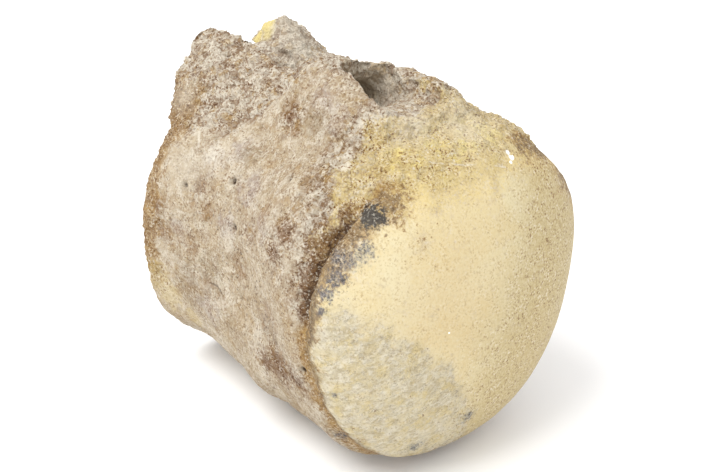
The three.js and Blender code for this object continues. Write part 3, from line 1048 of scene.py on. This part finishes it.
flakes = product(m("ADD", product(layers, 0.7), product(medium, 0.5)), flaked, 0.65)
grit = m("ADD", product(speck, 0.25), m("ADD", product(crumb, 0.6), product(crumbs, rough, -0.35)))
strength = m("MAXIMUM", m("MULTIPLY_ADD", mask("smooth"), -0.85, 1.0), product(flaked, 0.8))
bump = {"Strength": strength, "Distance": BUMP_HEIGHT * MM, "Height": m("ADD", grit, flakes)}
bump = add(paint, "ShaderNodeBump", bump).outputs[0]
gloss = m("MULTIPLY_ADD", ball, JOINT_ROUGHNESS - BROKEN_ROUGHNESS, BROKEN_ROUGHNESS)
gloss = m("ADD", gloss, product(m("SUBTRACT", fine, 0.5), 0.2))
shader = {"Base Color": surface, "Roughness": gloss, "IOR": STONE_IOR, "Normal": bump}
shader = add(paint, "ShaderNodeBsdfPrincipled", shader).outputs[0]
add(paint, "ShaderNodeOutputMaterial", {"Surface": shader})
print("bone material nodes:", len(paint.nodes))

# %% [markdown]
# ## Carve the relief
# The tree runs once, its result becomes a plain mesh, and a collapse brings the faces under the limit for
# one piece. It keeps the small faces where the surface is rough, and spends few on the smooth joint face.
# Two things are then put right: bits that hang on nothing go, and points below the floor come up to it.

# %% Run the tree and thin the mesh
FACE_LIMIT = 194000


def carve(thing, tree, material):
    layer = thing.modifiers.new("relief", "NODES")
    layer.node_group = tree
    values = {**RELIEF_INPUTS, "Seed": RELIEF_SEED, "Material": material}
    for item in tree.interface.items_tree:
        if item.item_type == "SOCKET" and item.in_out == "INPUT" and item.name in values:
            layer[item.identifier] = values[item.name]
    thing.data.update()
    return bake_modifiers(thing)


def settle(thing):
    """Takes the sharpest single points off, as handling and washing do."""
    soften = thing.modifiers.new("settle", "SMOOTH")
    soften.iterations = 1
    return bake_modifiers(thing)


def thin(thing, limit):
    faces = sum(len(p.vertices) - 2 for p in thing.data.polygons)
    collapse = thing.modifiers.new("thin", "DECIMATE")
    collapse.ratio = min(1.0, limit / faces)
    collapse.use_collapse_triangulate = True
    return bake_modifiers(thing)


def drop_crumbs(thing):
    """Deletes loose bits, which a remesh leaves where an edge is thinner than a voxel."""
    form = bmesh.new()
    form.from_mesh(thing.data)
    left, bodies = set(form.verts), []
    while left:
        border = [left.pop()]
        body = []
        while border:
            body.append(border.pop())
            for edge in body[-1].link_edges:
                other = edge.other_vert(body[-1])
                if other in left:
                    left.remove(other)
                    border.append(other)
        bodies.append(body)
    bodies.sort(key=len)
    bmesh.ops.delete(form, geom=[vert for body in bodies[:-1] for vert in body], context="VERTS")
    form.to_mesh(thing.data)
    form.free()
    return len(bodies) - 1


def press_on_floor(thing):
    """Flattens the points where relief would reach below the floor, as they wear in reality."""
    places = coordinates(thing.data)
    places[:, 2] = np.maximum(places[:, 2], low.z)
    thing.data.vertices.foreach_set("co", places.astype(np.float32).ravel())
    thing.data.update()


carve(skin, relief_tree, fossil_bone)
settle(skin)
thin(skin, FACE_LIMIT)
print("loose bits dropped:", drop_crumbs(skin))
press_on_floor(skin)
skin.data.shade_smooth()
print("bone triangles:", sum(len(p.vertices) - 2 for p in skin.data.polygons))

# %% Hand the skin to the frame
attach(skin, "root")
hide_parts(SOLID)
print("the skin replaces:", SOLID)

# %% [markdown]
# ## Floor and light
# The bone is lit softly from above, a little brighter from the left. A wide, high panel makes that main
# light, and an even pale sky lifts the shadows until only a narrow one is left under the bone. The floor is
# matt and almost white, so that it sends some light back up.

# %% Floor
HALF_FLOOR = 1.5
PAPER_ROUGHNESS = 0.95


def add_floor():
    half = HALF_FLOOR
    corners = [(-half, -half, 0), (half, -half, 0), (half, half, 0), (-half, half, 0)]
    mesh = bpy.data.meshes.new("floor")
    mesh.from_pydata(corners, [], [(0, 1, 2, 3)])
    floor = bpy.data.objects.new("floor", mesh)
    bpy.context.scene.collection.objects.link(floor)
    paper = bpy.data.materials.new("matt_white_paper")
    paper.use_nodes = True
    shader = paper.node_tree.nodes["Principled BSDF"]
    shader.inputs["Base Color"].default_value = linear("#f7f7f7")
    shader.inputs["Roughness"].default_value = PAPER_ROUGHNESS
    shader.inputs["Specular IOR Level"].default_value = 0.0
    mesh.materials.append(paper)


add_floor()
print("floor, metres across:", 2 * HALF_FLOOR)

# %% Lights
MAIN_LIGHT = {"azimuth": -5, "elevation": 60, "distance": 0.9, "size": 0.6, "power": 6.0}
SKY_STRENGTH = 1.15


def add_panel(name, azimuth, elevation, distance, size, power):
    lamp = bpy.data.lights.new(name, "AREA")
    lamp.shape = "DISK"
    lamp.size = size
    lamp.energy = power
    panel = bpy.data.objects.new(name, lamp)
    bpy.context.scene.collection.objects.link(panel)
    away = direction(azimuth, elevation)
    panel.location = AIM + away * distance
    panel.rotation_euler = away.to_track_quat("Z", "Y").to_euler()


add_panel("main_light", **MAIN_LIGHT)

sky = bpy.data.worlds.new("studio")
bpy.context.scene.world = sky
sky.use_nodes = True
sky.node_tree.nodes["Background"].inputs["Color"].default_value = (1, 1, 1, 1)
sky.node_tree.nodes["Background"].inputs["Strength"].default_value = SKY_STRENGTH
bpy.context.scene.view_settings.view_transform = "Standard"
print("main light:", MAIN_LIGHT)

# %% The end
bpy.context.view_layer.update()
